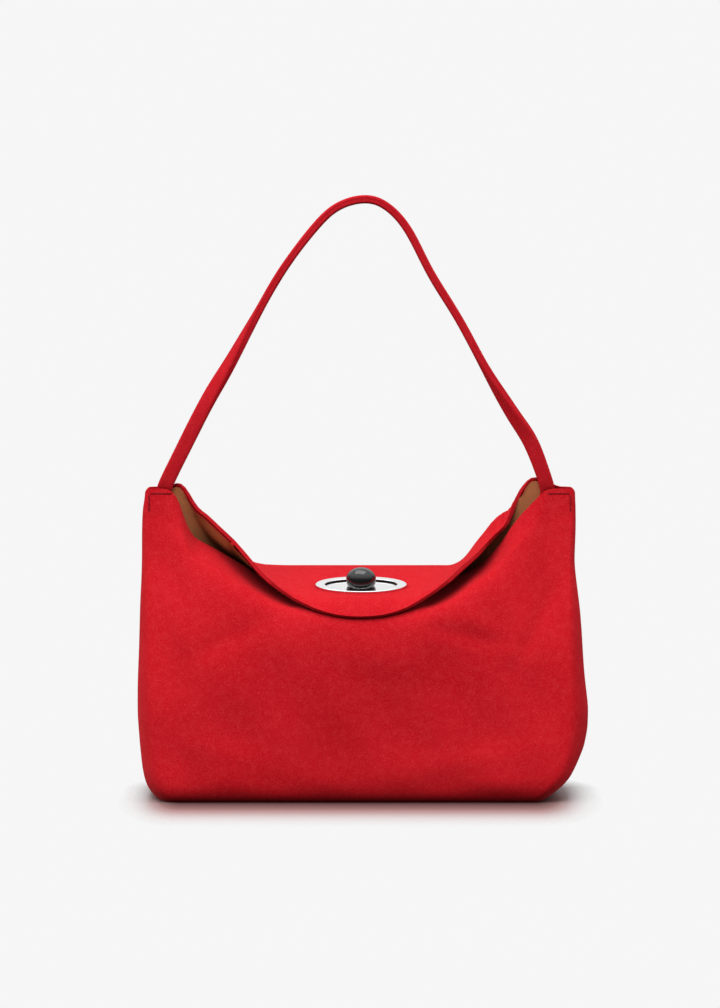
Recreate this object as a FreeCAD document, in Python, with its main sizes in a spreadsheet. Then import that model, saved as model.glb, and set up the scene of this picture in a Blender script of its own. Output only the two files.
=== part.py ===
"""Suede shoulder bag with an over-the-top flap, an oval turn lock and one long strap.

Frame: millimetres, +X to the bag's right as seen from the front, +Y to its back, +Z up.
The origin is the middle of the footprint, on the surface that the bag stands on.
Every size that can be set by itself is one cell of the spreadsheet.
"""
import FreeCAD, Part

import math
import os
import re

Vector = FreeCAD.Vector

DIMENSIONS = [
    # overall shape of the shell
    ("bag_width", 300.0),
    ("base_depth", 76.0),
    ("belly_depth", 91.0),
    ("corner_height", 205.0),
    ("crown_height", 150.3),
    ("crown_depth", 36.0),
    ("lip_height", 121.0),
    ("lip_reach", 42.5),
    # layers of the shell
    ("leather", 1.6),
    ("interlining", 0.8),
    ("lining", 0.9),
    ("seam_gap", 0.3),
    ("board", 1.8),
    ("board_inset", 26.0),
    ("patch", 0.6),
    ("layer_gap", 0.1),
    # how the mouth sags between its corners
    ("crown_half", 62.0),
    ("wing_start", 110.0),
    ("lip_flat", 33.0),
    ("lip_end", 120.0),
    ("roll_flat", 15.0),
    ("roll_end", 125.0),
    ("tuck_flat", 45.0),
    ("tuck_end", 118.0),
    ("flap_half", 84.0),
    ("flap_end", 81.5),
    ("kink_half", 102.0),
    ("crease_radius", 44.0),
    # turn lock
    ("lock_y", -8.0),
    ("lock_height", 140.0),
    ("lock_tilt", 15.0),
    ("seat_half", 22.0),
    ("eyelet_long", 30.4),
    ("eyelet_short", 14.2),
    ("slot_long", 24.0),
    ("slot_short", 9.5),
    ("slot_margin", 0.3),
    ("plate", 1.6),
    ("backplate", 0.8),
    ("post_radius", 1.6),
    ("post_offset", 27.1),
    ("small_screw", 0.8),
    ("flap_clearance", 0.7),
    ("flange_long", 28.0),
    ("flange_short", 12.4),
    ("flange", 1.0),
    ("boss_long", 22.8),
    ("boss_short", 8.3),
    ("boss_wall", 0.8),
    ("boss_rise", 0.2),
    ("base_screw", 1.0),
    ("base_screw_offset", 25.4),
    ("backing_long", 27.6),
    ("backing_short", 10.5),
    ("screw_head", 1.0),
    ("head_spread", 0.9),
    ("spindle_radius", 2.0),
    ("running_fit", 0.05),
    ("spindle_tail", 0.4),
    ("spindle_in_knob", 5.5),
    ("knob_long", 10.1),
    ("knob_short", 8.0),
    ("knob_tall", 8.4),
    ("knob_centre", 4.5),
    ("collar_long", 6.4),
    ("collar_short", 4.9),
    ("collar", 0.55),
    ("spring_radius", 4.2),
    ("spring_rise", 0.5),
    ("spring_leaf", 0.3),
    ("cam_radius", 3.8),
    ("cam", 1.0),
    ("lug_reach", 5.8),
    ("lug_width", 1.8),
    ("stop_radius", 0.8),
    ("stop_ring", 5.0),
    ("stop_angle", 22.0),
    ("knob_turn", 90.0),
    ("clip_radius", 3.3),
    ("clip", 0.5),
    ("clip_neck", 1.6),
    # strap
    ("strap_half_span", 127.0),
    ("strap_rise", 186.3),
    ("strap_arch", 41.0),
    ("strap_in_plane", 7.0),
    ("strap_across", 6.0),
    ("core_in_plane", 3.8),
    ("core_across", 2.6),
    ("core_gap", 0.15),
    ("pivot_rise", 5.5),
    ("tab_width", 14.0),
    ("tab_thick", 3.0),
    ("tab_length", 27.0),
    ("tab_show", 1.0),
    # thread
    ("thread_radius", 0.35),
    ("stitch_length", 2.6),
    ("stitch_pitch", 3.6),
    ("stitch_inset", 5.0),
]
TOP_STITCHES = 5
SIDE_STITCHES = 3

doc = FreeCAD.newDocument("shoulder_bag")
sheet = doc.addObject("Spreadsheet::Sheet", "Sizes")
for row, (alias, value) in enumerate(DIMENSIONS, start=1):
    sheet.set(f"A{row}", alias)
    sheet.set(f"B{row}", str(value))
    sheet.setAlias(f"B{row}", alias)
doc.recompute()
nodes = []


def size(alias):
    """The number in the cell with that alias."""
    return float(sheet.get(alias))


def keep(item, label):
    """Marks an object as a sub-part: its label names its file."""
    item.Label = label
    nodes.append(item)
    return item


def keep_shape(shape, label):
    """A sub-part whose shape is made with Part's own functions."""
    item = doc.addObject("Part::Feature", label + "_solid")
    item.Shape = shape
    return keep(item, label)


def bind(item, **sizes):
    """Binds properties to expressions, in which a bare alias stands for its spreadsheet cell."""
    aliases = "|".join(alias for alias, _ in DIMENSIONS)
    for name, text in sizes.items():
        item.setExpression(name, re.sub(rf"\b({aliases})\b", r"Sizes.\1", text))
    return item


# ---------------------------------------------------------------- layers and places of the lock

SHELL = size("leather") + size("interlining") + size("lining")
CORNER_HALF = size("tab_thick") / 2 + size("layer_gap") * 2 + SHELL
LOCK_FRAME = FreeCAD.Placement(
    Vector(0, size("lock_y"), size("lock_height")),
    FreeCAD.Rotation(Vector(1, 0, 0), size("lock_tilt")),
)
FLAP_BACK = SHELL + size("layer_gap") + size("backplate")
FLANGE_TOP = -(FLAP_BACK + size("flap_clearance"))
FRONT_DROP = -FLANGE_TOP + size("flange") + size("layer_gap")
BACKING_TOP = -(FRONT_DROP + SHELL + size("layer_gap"))
SHELL_TEXT = "leather + interlining + lining"
FLANGE_TOP_TEXT = f"-( {SHELL_TEXT} + layer_gap + backplate + flap_clearance )"
BACKING_TOP_TEXT = f"( {FLANGE_TOP_TEXT} - flange - 2 * layer_gap - {SHELL_TEXT.replace('+', '-')} )"


def on_seat(along, lift):
    """(y, z) of a point of the lock's own frame: along its slope and lifted off it."""
    tilt = math.radians(size("lock_tilt"))
    return (
        size("lock_y") + along * math.cos(tilt) - lift * math.sin(tilt),
        size("lock_height") + along * math.sin(tilt) + lift * math.cos(tilt),
    )


# ---------------------------------------------------------------- outlines of the leather shell


def ramp(x, start, end, power):
    """0 up to start, 1 from end on, and a power of the share in between."""
    share = (abs(x) - start) / (end - start)
    return min(1.0, max(0.0, share)) ** power


def mix(a, b, share):
    return (a[0] + (b[0] - a[0]) * share, a[1] + (b[1] - a[1]) * share)


def wall_points(depth_sign):
    """The lower wall at the middle and at a corner, from the base seam upwards, as (y, z)."""
    foot, belly, top = size("base_depth") / 2, size("belly_depth") / 2, size("corner_height")
    seam = [(foot, 0), (foot + 3, 0), (belly - 1.5, 5)]
    middle = seam + [(belly, 18), (belly, 65)]
    corner = seam + [(belly - 0.5, 18), (belly - 6, 0.32 * top)]
    slope = [(0.57 * belly, 0.56 * top), (0.34 * belly, 0.73 * top), (0.22 * belly, 0.84 * top)]
    signed = [[(depth_sign * y, z) for y, z in row] for row in (middle, corner, slope)]
    return signed[0], signed[1] + signed[2]


def front_profile(x):
    """Outer line of the front at x, up the wall, over the roll and in under the flap."""
    top, half = size("corner_height"), CORNER_HALF
    middle, corner = wall_points(-1)
    rolled = size("lip_height")
    middle += [(-size("belly_depth") / 2 + 0.5, rolled - 21), (-size("lip_reach") + 1, rolled - 4)]
    middle += [(-size("lip_reach") + 6.5, rolled + 3.5)]
    middle += [on_seat(-size("seat_half"), -FRONT_DROP), on_seat(16, -FRONT_DROP)]
    corner += [(-half - 2, top - 18), (-half, top)]
    roll = ramp(x, size("roll_flat"), size("roll_end"), 1.6)
    tuck = ramp(x, size("tuck_flat"), size("tuck_end"), 2.2)
    shares = [roll] * 8 + [tuck] * 2
    return [mix(a, b, share) for a, b, share in zip(middle, corner, shares)]


def back_profile(x):
    """Outer line of the back at x, up the wall, over the crown and forward to the lip."""
    top, half, crown = size("corner_height"), CORNER_HALF, size("crown_height")
    deep, reach, lip = size("crown_depth"), size("lip_reach"), size("lip_height")
    middle, corner = wall_points(1)
    middle += [(size("belly_depth") / 2 - 0.2, crown - 30), (deep + 8.2, crown - 12)]
    middle += [(deep + 5, crown - 3.3), (deep, crown), (deep - 8, crown - 1)]
    middle += [on_seat(size("seat_half"), 0), on_seat(-size("seat_half"), 0)]
    middle += [(-reach + 6, lip + 9.8), (-reach + 2, lip + 4)]
    corner += [(half + 2.5, top - 18), (half + 1.2, top - 10), (half + 0.6, top - 6)]
    corner += [(half + 0.3, top - 2.5), (half + 0.1, top - 1), (half, top)]
    crown_share = ramp(x, size("crown_half"), size("wing_start"), 1.1)
    lip_share = ramp(x, size("lip_flat"), size("lip_end"), 1.3)
    shares = [crown_share] * 10 + [lip_share] * 4
    return [mix(a, b, share) for a, b, share in zip(middle, corner, shares)]


def spline(points, x):
    """A smooth line that these points steer, in the plane at x."""
    curve = Part.BSplineCurve()
    curve.buildFromPoles([Vector(x, y, z) for y, z in points])
    return curve


def moved_in(points, turn, inset, steps):
    """Points along the smooth line that points steer, moved to the side that turn names."""
    curve = spline(points, 0)
    found = []
    for i in range(steps + 1):
        share = i / steps
        place, way = curve.value(share), curve.tangent(share)[0]
        found.append((place.y - turn * way.z * inset, place.z + turn * way.y * inset))
    return found


def offset_line(profile, flat, turn, x, inset):
    """One profile taken in by inset: up to its flat run, the run itself, and what follows."""
    points = profile(x)
    parts = [moved_in(points[: flat + 1], turn, inset, 60)]
    parts.append(moved_in(points[flat : flat + 2], turn, inset, 6))
    parts[0][-1] = parts[1][0]
    if len(points) > flat + 2:
        parts.append(moved_in(points[flat + 1 :], turn, inset, 20))
        parts[2][0] = parts[1][-1]
    return parts


def resampled(points, count):
    """The same line as count evenly spaced points."""
    lengths = [0.0]
    for (y0, z0), (y1, z1) in zip(points, points[1:]):
        lengths.append(lengths[-1] + math.hypot(y1 - y0, z1 - z0))
    found = []
    at = 0
    for i in range(count):
        goal = lengths[-1] * i / (count - 1)
        while at < len(points) - 2 and lengths[at + 1] < goal:
            at += 1
        run = lengths[at + 1] - lengths[at]
        found.append(mix(points[at], points[at + 1], (goal - lengths[at]) / run if run else 0.0))
    return found


def closed_section(outer_parts, inner_parts, x):
    """Wire at x around a layer, from the parts of its outer and its inner line."""
    edges = [spline(part, x).toShape() for part in outer_parts + inner_parts]
    for end in (0, -1):
        edges.append(Part.makeLine(Vector(x, *outer_parts[end][end]), Vector(x, *inner_parts[end][end])))
    return Part.Wire(Part.__sortEdges__(edges))


def side_reach():
    """Where the front and back end, just inside the gusset."""
    return size("bag_width") / 2 - size("leather") - size("seam_gap")


def both_sides(places):
    right = sorted(set(places))
    return [-x for x in reversed(right)] + right


def front_line(x, inset):
    """The front's line at x, taken in by inset, as evenly spaced parts."""
    wall, seat = offset_line(front_profile, 8, -1, x, inset)
    return [resampled(wall, 26), seat[:1] + seat[-1:]]


def front_layer(inset, thick):
    places = [size("roll_flat"), 30.0, size("tuck_flat"), 60.0, 78.0, 94.0, 107.0]
    places = both_sides(places + [size("tuck_end"), size("roll_end"), side_reach()])
    sections = [closed_section(front_line(x, inset), front_line(x, inset + thick), x) for x in places]
    return Part.makeLoft(sections, True, True)


# ---------------------------------------------------------------- where the flap parts from the back


def crease_radius_at(x):
    """Distance from the flap's fold line to its crease at x: nothing on the straight crown."""
    run = size("flap_half") + 1 - size("crown_half")
    return size("crease_radius") * max(0.0, (abs(x) - size("crown_half")) / run)


def edge_depth(x):
    """How far forward the leather's cut edge lies at x, from lip to wing to corner."""
    reach, half, kink = size("lip_reach"), size("flap_half"), size("kink_half")
    if abs(x) <= half:
        return -reach - 3.5 + (reach + 0.5) * (x / half) ** 2
    if abs(x) <= kink:
        return -3.0 + 11.0 * (abs(x) - half) / (kink - half)
    return 8.0 + (CORNER_HALF - 8.0) * ramp(x, kink, size("roll_end"), 1.0)


def is_flap(y, z, x, margin):
    """Whether a point lies on the flap's side of its fold and crease, by at least margin."""
    fold_y, fold_z = size("crown_depth"), size("crown_height") + size("seam_gap")
    clear = math.hypot(y - fold_y, z - fold_z) - crease_radius_at(x) >= margin
    above_wall = z > fold_z - 6 - 0.35 * (fold_y - y)
    return y <= fold_y - margin and clear and above_wall


def refined(points):
    """The line with its long steps broken up, so that it can be cut closely."""
    found = []
    for a, b in zip(points, points[1:]):
        found += [mix(a, b, i / 24) for i in range(24)]
    return found + [points[-1]]


def trimmed(x, inset):
    """The back's line at x as parts, taken in by inset and cut square at its leather's edge."""
    limit, low = edge_depth(x), size("lip_height")
    parts = []
    face = offset_line(back_profile, 10, 1, x, 0.0)
    for moved, outer in zip(offset_line(back_profile, 10, 1, x, inset), face):
        pairs = zip(refined(moved), refined(outer))
        parts.append([p for p, (y, z) in pairs if y >= limit or z <= low])
    return parts


def back_line(x, inset):
    """The back's line at x from the base seam to the fold, crease or cut edge."""
    line = sum(trimmed(x, inset), [])
    if abs(x) <= size("flap_end"):
        line = [p for p in line if not is_flap(*p, x, -size("seam_gap") / 2)]
    return [resampled(line, 34)]


def flap_line(x, inset):
    """The flap's line at x: fold to seat, the seat, and seat to lip."""
    half_gap = size("seam_gap") / 2
    parts = [[p for p in part if is_flap(*p, x, half_gap)] for part in trimmed(x, inset)]
    if abs(x) <= size("lip_flat"):
        return [resampled(parts[0], 8), [parts[1][0], parts[1][-1]], resampled(parts[2], 5)]
    line = resampled(sum(parts, []), 30)
    return [resampled(line[:9], 8), resampled(line[8:24], 2), resampled(line[23:], 5)]


def back_layer(inset, thick):
    places = [20.0, 40.0, size("crown_half"), 66.0, 70.0, 74.0, 78.0, size("flap_end")]
    places += [size("flap_end") + size("seam_gap"), size("flap_half"), 93.0, size("kink_half"), size("wing_start"), size("lip_end")]
    places = both_sides(places + [size("roll_end"), side_reach()])
    sections = [closed_section(back_line(x, inset), back_line(x, inset + thick), x) for x in places]
    return Part.makeLoft(sections, True, True)


def flap_layer(inset, thick):
    places = [12.0, 23.0, size("lip_flat"), 40.0, 48.0, 55.0, size("crown_half")]
    places = both_sides(places + [66.0, 70.0, 74.0, 78.0, size("flap_end")])
    sections = [closed_section(flap_line(x, inset), flap_line(x, inset + thick), x) for x in places]
    return Part.makeLoft(sections, True, True)


def largest(shape):
    return max(shape.Solids, key=lambda solid: solid.Volume)


# ---------------------------------------------------------------- shapes in the lock's own frame


def oval_solid(half_long, half_short, low, high):
    """An upright oval block between two heights."""
    ring = Part.Ellipse(Vector(0, 0, low), half_long, half_short).toShape()
    return Part.Face(Part.Wire([ring])).extrude(Vector(0, 0, high - low))


def placed(shape):
    """The shape moved from the lock's own frame to the bag's."""
    moved = shape.copy()
    moved.Placement = LOCK_FRAME
    return moved


def pin_holes(offset, radius, low, high):
    """A pair of round holes beside the lock's middle."""
    height = high - low
    return [Part.makeCylinder(radius, height, Vector(side * offset, 0, low)) for side in (-1, 1)]


def flap_opening():
    """What the eyelet needs through the flap: the slot and its two posts."""
    low, high = -2 * FLAP_BACK, FLAP_BACK
    margin = size("slot_margin")
    slot = oval_solid(size("slot_long") + margin, size("slot_short") + margin, low, high)
    posts = pin_holes(size("post_offset"), size("post_radius") + size("layer_gap"), low, high)
    return placed(slot.fuse(posts))


def front_opening():
    """Holes for the two base screws through the front."""
    low = BACKING_TOP - SHELL
    holes = pin_holes(size("base_screw_offset"), size("base_screw") + size("layer_gap"), low, FLANGE_TOP)
    return placed(Part.makeCompound(holes))


# ---------------------------------------------------------------- leather and lining


def make_shell():
    leather, lining = size("leather"), size("lining")
    inner = leather + size("interlining")
    for inset, thick, ending in ((0.0, leather, "panel"), (inner, lining, "lining")):
        front = front_layer(inset, thick).cut(front_opening())
        keep_shape(largest(front), f"front_{ending}")
        keep_shape(back_layer(inset, thick), f"back_{ending}")
        flap = flap_layer(inset, thick).cut(flap_opening())
        keep_shape(largest(flap), f"flap_{ending}")


def end_outline(inset, x):
    """The bag's end seen from the side, taken in by inset, as a closed wire at x."""
    end = side_reach()
    return closed_section([front_line(end, inset)[0]], back_line(end, inset), x)


def make_gussets():
    leather, lining, gap = size("leather"), size("lining"), size("seam_gap")
    for name, side in (("left", -1), ("right", 1)):
        start = side * (side_reach() + gap)
        wall = Part.Face(end_outline(0, start)).extrude(Vector(side * leather, 0, 0))
        keep_shape(wall, f"{name}_gusset")
        start = side * (side_reach() - lining)
        inner = Part.Face(end_outline(SHELL + gap, start)).extrude(Vector(side * lining, 0, 0))
        keep_shape(inner, f"{name}_gusset_lining")


def make_base():
    """Base leather, stiffening board and base lining, one on the other."""
    width = "( bag_width - 2 * leather - 2 * seam_gap )"
    layers = [
        ("base_panel", width, "base_depth - 2 * layer_gap", "leather", "0"),
        ("base_board", f"{width} - 2 * board_inset", "base_depth - 6", "board", "leather + layer_gap"),
        ("base_lining", f"{width} - 4", "base_depth - 4", "lining", "leather + board + 2 * layer_gap"),
    ]
    for name, length, depth, thick, lift in layers:
        slab = doc.addObject("Part::Box", name + "_slab")
        bind(slab, Length=length, Width=depth, Height=thick)
        slab.setExpression(".Placement.Base.x", "-Length / 2")
        slab.setExpression(".Placement.Base.y", "-Width / 2")
        bind(slab, **{".Placement.Base.z": lift})
        keep(slab, name)


# ---------------------------------------------------------------- lock hardware


def oval(name, half_long, half_short, low, height):
    """An upright oval block bound to the sheet, for use in a boolean."""
    ring = doc.addObject("Part::Ellipse", name + "_ring")
    bind(ring, MajorRadius=half_long, MinorRadius=half_short, **{".Placement.Base.z": low})
    block = doc.addObject("Part::Extrusion", name + "_block")
    block.Base = ring
    block.DirMode = "Custom"
    block.Dir = Vector(0, 0, 1)
    block.Solid = True
    bind(block, LengthFwd=height)
    return block


def rod(name, radius, low, height, x="0", y="0"):
    """An upright cylinder bound to the sheet."""
    item = doc.addObject("Part::Cylinder", name + "_rod")
    bind(item, Radius=radius, Height=height)
    bind(item, **{".Placement.Base.x": x, ".Placement.Base.y": y, ".Placement.Base.z": low})
    return item


def join(name, *shapes):
    item = doc.addObject("Part::MultiFuse", name + "_joined")
    item.Shapes = list(shapes)
    return item


def cut(name, base, *tools):
    item = doc.addObject("Part::Cut", name + "_cut")
    item.Base = base
    item.Tool = tools[0] if len(tools) == 1 else join(name + "_tools", *tools)
    return item


def keep_in_lock(item, label):
    """A sub-part that is built in the lock's own frame."""
    item.Placement = LOCK_FRAME
    return keep(item, label)


def mirrored_rods(name, radius, low, height, offset):
    return [rod(f"{name}_{tag}", radius, low, height, x=sign + offset) for tag, sign in (("a", "-"), ("b", ""))]


def rounded(name, item, radius, edge_numbers):
    """A Part::Fillet on the numbered edges."""
    soft = doc.addObject("Part::Fillet", name + "_soft")
    soft.Base = item
    soft.Edges = [(number, radius, radius) for number in edge_numbers]
    return soft


def top_edges(item, height):
    """Numbers of the closed edges that lie flat at that height."""
    found = []
    for number, edge in enumerate(item.Shape.Edges, start=1):
        box = edge.BoundBox
        if abs(box.ZMin - height) < 1e-6 and abs(box.ZMax - height) < 1e-6:
            found.append(number)
    return found


def make_eyelet():
    """Front ring, back ring and the two screws that clamp the flap between them."""
    face = oval("eyelet", "eyelet_long", "eyelet_short", "0", "plate")
    hole = oval("eyelet_slot", "slot_long", "slot_short", "-plate", "4 * plate")
    ring = cut("eyelet_ring", face, hole)
    doc.recompute()
    ring = rounded("eyelet_ring", ring, 0.6, top_edges(ring, size("plate")))
    post_length = f"( {SHELL_TEXT} )"
    posts = mirrored_rods("eyelet_post", "post_radius", f"-{post_length}", post_length, "post_offset")
    whole = join("eyelet", ring, *posts)
    bores = mirrored_rods("eyelet_bore", "small_screw", f"-{post_length}", post_length, "post_offset")
    keep_in_lock(cut("eyelet", whole, *bores), "eyelet_plate")

    low = f"-( {SHELL_TEXT} + layer_gap + backplate )"
    plate = oval("back_ring", "eyelet_long - 0.8", "eyelet_short - 0.8", low, "backplate")
    hole = oval("back_slot", "slot_long", "slot_short", "-4 * plate", "6 * plate")
    holes = mirrored_rods("back_hole", "small_screw + layer_gap", "-5 * plate", "6 * plate", "post_offset")
    keep_in_lock(cut("back_ring", plate, hole, *holes), "eyelet_backplate")

    shanks = mirrored_rods("eyelet_shank", "small_screw", low, f"{post_length} + 0.5", "post_offset")
    head_low = f"-( {SHELL_TEXT} + layer_gap + backplate + flap_clearance / 2 )"
    heads = mirrored_rods(
        "eyelet_head", "small_screw + head_spread", head_low, "flap_clearance / 2", "post_offset"
    )
    keep_in_lock(join("eyelet_screws", *shanks, *heads), "eyelet_screws")


def make_patches():
    """Fibre patches that stiffen the flap and the front where the lock clamps them."""
    low = "-( leather + layer_gap + patch )"
    board = oval("flap_patch", "eyelet_long + 3", "eyelet_short + 3", low, "patch")
    hole = oval("flap_patch_slot", "slot_long + slot_margin", "slot_short + slot_margin", "-5", "8")
    posts = mirrored_rods("flap_patch_post", "post_radius + layer_gap", "-5", "8", "post_offset")
    keep_in_lock(cut("flap_patch", board, hole, *posts), "flap_stiffener")

    low = f"( {FLANGE_TOP_TEXT} - flange - 2 * layer_gap - leather - patch )"
    board = oval("front_patch", "flange_long + 2", "flange_short + 2", low, "patch")
    holes = mirrored_rods("front_patch_hole", "base_screw + layer_gap", "-20", "20", "base_screw_offset")
    keep_in_lock(cut("front_patch", board, *holes), "lock_stiffener")


def make_lock_base():
    """Base plate with its raised boss, the backing plate inside and the two screws."""
    low = f"( {FLANGE_TOP_TEXT} - flange )"
    flange = oval("base_flange", "flange_long", "flange_short", low, "flange")
    boss = oval("base_boss", "boss_long", "boss_short", low, f"boss_rise - {low}")
    whole = join("lock_base", flange, boss)
    hollow = oval(
        "base_hollow", "boss_long - boss_wall", "boss_short - boss_wall", low, f"boss_rise - boss_wall - {low}"
    )
    bush = rod("base_bush", "spindle_radius + running_fit", "-boss_wall", "4 * boss_wall")
    bores = mirrored_rods("base_bore", "base_screw", low, "flange", "base_screw_offset")
    keep_in_lock(cut("lock_base", whole, hollow, bush, *bores), "lock_base_plate")

    plate = oval("backing", "backing_long", "backing_short", f"{BACKING_TOP_TEXT} - backplate", "backplate")
    holes = mirrored_rods("backing_hole", "base_screw + layer_gap", "-20", "20", "base_screw_offset")
    keep_in_lock(cut("backing", plate, *holes), "lock_backing_plate")

    start = f"( {BACKING_TOP_TEXT} - backplate )"
    shanks = mirrored_rods("base_shank", "base_screw", start, f"{FLANGE_TOP_TEXT} - {start}", "base_screw_offset")
    heads = mirrored_rods(
        "base_head", "base_screw + head_spread", f"{start} - screw_head", "screw_head", "base_screw_offset"
    )
    keep_in_lock(join("lock_screws", *shanks, *heads), "lock_screws")


def make_turning_parts():
    """Knob, collar and spindle above the boss, and spring, cam and clip in its hollow."""
    collar_top = "( boss_rise + running_fit + collar )"
    ball = doc.addObject("Part::Ellipsoid", "knob_ball")
    bind(ball, Radius1="knob_tall", Radius2="knob_long", Radius3="knob_short")
    bind(ball, **{".Placement.Base.z": "knob_centre"})
    under = rod("knob_under", "2 * knob_long", f"{collar_top} - 2 * knob_tall", "2 * knob_tall")
    bore = rod("knob_bore", "spindle_radius", "0", f"{collar_top} + spindle_in_knob")
    keep_in_lock(cut("knob", ball, under, bore), "lock_knob")

    disc = oval("collar", "collar_long", "collar_short", "boss_rise + running_fit", "collar")
    keep_in_lock(cut("collar", disc, rod("collar_bore", "spindle_radius", "0", "5")), "knob_collar")

    ceiling = "( boss_rise - boss_wall )"
    cone = doc.addObject("Part::Cone", "spring_cone")
    bind(cone, Radius1="spring_radius", Radius2="spindle_radius + 0.5", Height="spring_rise")
    bind(cone, **{".Placement.Base.z": f"{ceiling} - spring_rise - spring_leaf"})
    lower = doc.addObject("Part::Cone", "spring_under")
    bind(lower, Radius1="spring_radius", Radius2="spindle_radius + 0.5", Height="spring_rise")
    bind(lower, **{".Placement.Base.z": f"{ceiling} - spring_rise - 2 * spring_leaf"})
    eye = rod("spring_eye", "spindle_radius + 0.2", "-5", "8")
    keep_in_lock(cut("spring", cone, lower, eye), "spring_washer")

    cam_top = f"( {ceiling} - spring_rise - spring_leaf - running_fit )"
    disc = rod("cam_disc", "cam_radius", f"{cam_top} - cam", "cam")
    lug = doc.addObject("Part::Box", "cam_lug")
    bind(lug, Length="lug_reach", Width="lug_width", Height="cam")
    bind(lug, **{".Placement.Base.y": "-lug_width / 2", ".Placement.Base.z": f"{cam_top} - cam"})
    whole = join("cam", disc, lug)
    keep_in_lock(cut("cam", whole, rod("cam_bore", "spindle_radius", "-5", "8")), "stop_cam")

    clip_top = f"( {cam_top} - cam - running_fit )"
    ring = rod("clip_disc", "clip_radius", f"{clip_top} - clip", "clip")
    keep_in_lock(cut("clip", ring, rod("clip_bore", "clip_neck + layer_gap", "-5", "8")), "spindle_clip")

    shaft = rod("shaft", "spindle_radius", clip_top, f"{collar_top} + spindle_in_knob - {clip_top}")
    neck = rod("shaft_neck", "clip_neck", f"{clip_top} - clip", "clip")
    tail = rod("shaft_tail", "spindle_radius", f"{clip_top} - clip - spindle_tail", "spindle_tail")
    keep_in_lock(join("spindle", shaft, neck, tail), "lock_spindle")

    pins = []
    for name, angle in (("start", "-stop_angle"), ("end", "knob_turn + stop_angle")):
        place = {"x": f"stop_ring * cos( ( {angle} ) * 1deg )", "y": f"stop_ring * sin( ( {angle} ) * 1deg )"}
        pin_low = f"{cam_top} - cam"
        pins.append(rod(f"stop_{name}", "stop_radius", pin_low, f"{ceiling} - ( {pin_low} )", **place))
    keep_in_lock(join("stop_pins", *pins), "stop_pins")


# ---------------------------------------------------------------- strap


def leg_angle():
    """Slope of the strap's straight legs, which meet the arch without a corner."""
    half, rise, arch = size("strap_half_span"), size("strap_rise"), size("strap_arch")
    reach = math.hypot(half, rise - arch)
    return math.atan2(rise - arch, half) + math.asin(arch / reach)


def strap_outline(half_thick, across):
    """The strap seen from the front, with round ends about its pivots, as a solid."""
    half, rise, arch = size("strap_half_span"), size("strap_rise"), size("strap_arch")
    pivot = size("corner_height") + size("pivot_rise")
    angle = leg_angle()
    start = -across / 2

    def on_arch(radius, turn):
        centre = pivot + rise - arch
        return Vector(radius * math.sin(turn), start, centre + radius * math.cos(turn))

    def at_foot(side, shift):
        normal = (side * math.sin(angle), math.cos(angle))
        return Vector(side * half + normal[0] * shift, start, pivot + normal[1] * shift)

    edges = []
    for shift in (half_thick, -half_thick):
        left, top, right = (on_arch(arch + shift, turn) for turn in (-angle, 0, angle))
        edges.append(Part.makeLine(at_foot(-1, shift), left))
        edges.append(Part.Arc(left, top, right).toShape())
        edges.append(Part.makeLine(right, at_foot(1, shift)))
    for side in (-1, 1):
        edges.append(Part.makeLine(at_foot(side, half_thick), at_foot(side, -half_thick)))
    outline = Part.Wire(Part.__sortEdges__(edges))
    return Part.Face(outline).extrude(Vector(0, across, 0))


def make_strap():
    """Folded leather strap with a filler cord in it, and the tabs sewn into the corners."""
    across, gap = size("strap_across"), size("core_gap")
    whole = strap_outline(size("strap_in_plane") / 2, across)
    corners = [e for e in whole.Edges if abs(e.BoundBox.YLength) < 1e-6 and e.Length > size("strap_in_plane")]
    whole = whole.makeFillet(across / 2 - 0.4, corners)
    pivot = size("corner_height") + size("pivot_rise")
    room = Part.makeBox(
        size("bag_width"), across * 2, size("strap_rise") * 2,
        Vector(-size("bag_width") / 2, -across, pivot - size("strap_rise") * 2),
    )
    nose = Part.makeCylinder(across / 2, size("bag_width"), Vector(-size("bag_width") / 2, 0, pivot), Vector(1, 0, 0))
    below = room.cut(nose)
    whole = whole.cut(below)
    hollow = strap_outline(size("core_in_plane") / 2 + gap, size("core_across") + 2 * gap)
    core = strap_outline(size("core_in_plane") / 2, size("core_across")).cut(below)
    keep_shape(largest(whole.cut(hollow)), "strap_wrap")
    keep_shape(largest(core), "strap_core")

    for name, side in (("left", -1), ("right", 1)):
        tab = doc.addObject("Part::Box", f"{name}_tab")
        bind(tab, Length="tab_width", Width="tab_thick", Height="tab_length")
        middle = f"{side} * strap_half_span - tab_width / 2"
        bind(tab, **{".Placement.Base.x": middle, ".Placement.Base.y": "-tab_thick / 2"})
        bind(tab, **{".Placement.Base.z": "corner_height + tab_show - tab_length"})
        keep(tab, f"strap_tab_{name}")


# ---------------------------------------------------------------- thread


def front_depth(z):
    """y of the front's outer face at a corner, at that height."""
    line = spline(front_profile(side_reach()), 0)
    plane = Part.Plane(Vector(0, 0, z), Vector(0, 0, 1))
    return line.intersect(plane)[0][0].Y


def stitch(x, z, along_z):
    """One stitch that lies on the front's outer face, across or down it."""
    radius, length = size("thread_radius"), size("stitch_length")
    lean = front_depth(z + 1) - front_depth(z - 1)
    direction = Vector(0, lean / 2, 1) if along_z else Vector(1, 0, 0)
    direction.normalize()
    start = Vector(x, front_depth(z) - radius - size("layer_gap"), z) - direction * (length / 2)
    rounded_rod = Part.makeCylinder(radius, length, start, direction)
    ends = [Part.makeSphere(radius, start), Part.makeSphere(radius, start + direction * length)]
    return rounded_rod.fuse(ends).removeSplitter()


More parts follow.
